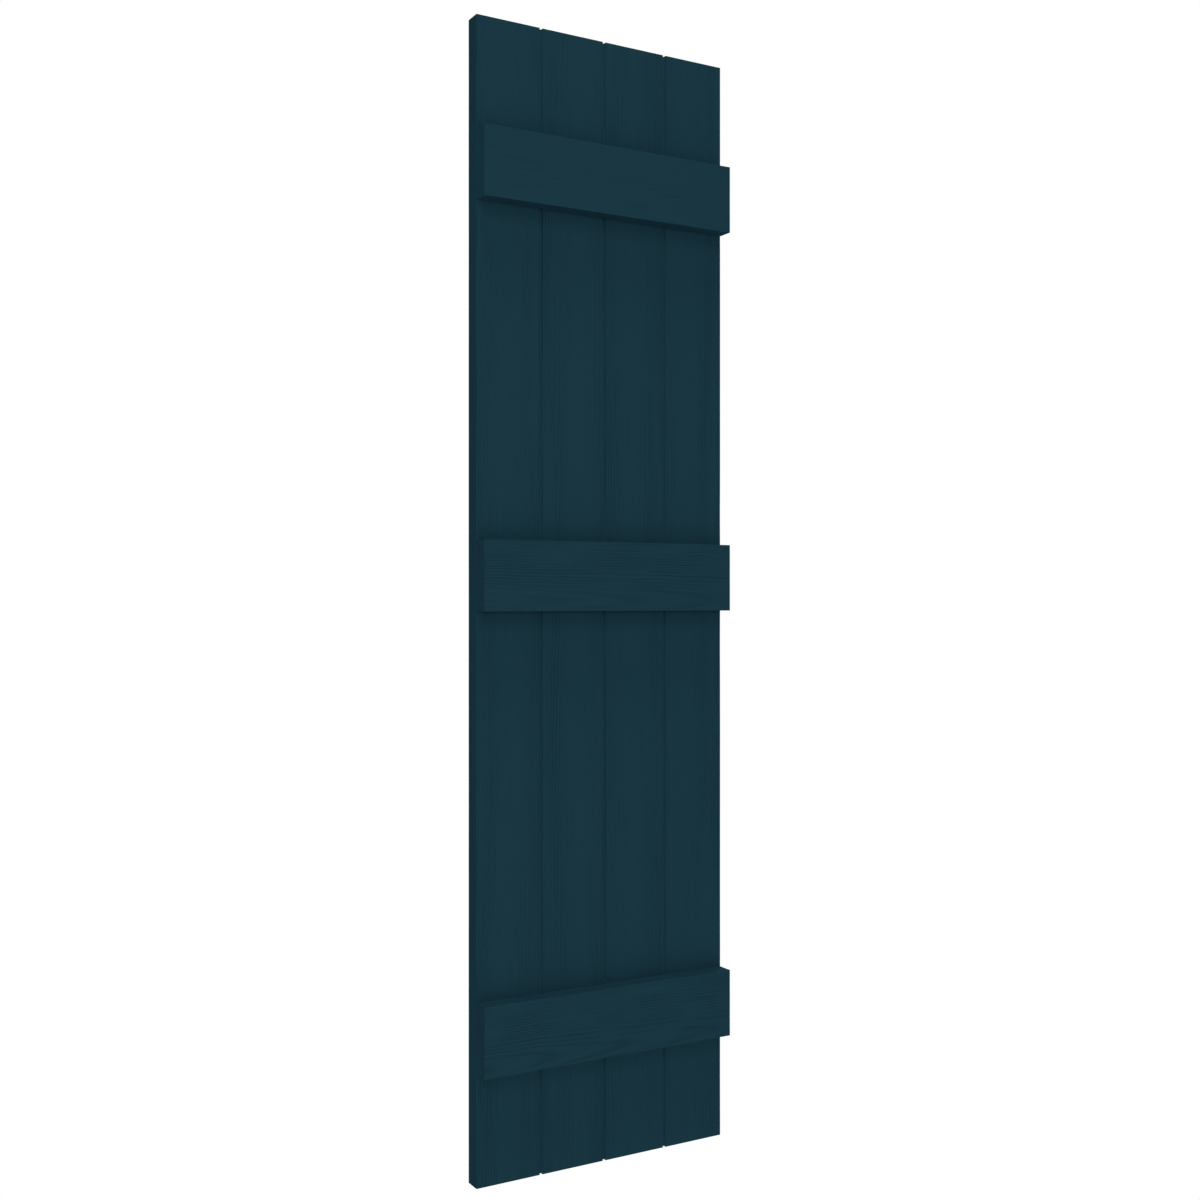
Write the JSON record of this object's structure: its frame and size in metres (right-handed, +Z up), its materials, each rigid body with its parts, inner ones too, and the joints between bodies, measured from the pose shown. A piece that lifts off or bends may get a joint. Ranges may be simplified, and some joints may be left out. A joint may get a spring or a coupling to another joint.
{
  "type": "board and batten shutter",
  "caption": "Tall dark teal exterior window shutter of upright tongue-and-groove boards with square reveals, held together by flat battens across the front.",
  "frame": {"origin": "middle of the shutter's back, on the flat face that lies against the wall", "axes": "+Z up the boards, +Y out of the back into the wall, +X to the right seen from the front"},
  "size_m": [0.368, 0.046, 1.463],
  "materials": {
    "board_paint": "matte",
    "batten_paint": "matte"
  },
  "bodies": {
    "root": {"left_board": "board_paint", "left_centre_board": "board_paint", "right_centre_board": "board_paint", "right_board": "board_paint", "top_batten": "batten_paint", "middle_batten": "batten_paint", "bottom_batten": "batten_paint"}
  },
  "joints": []
}
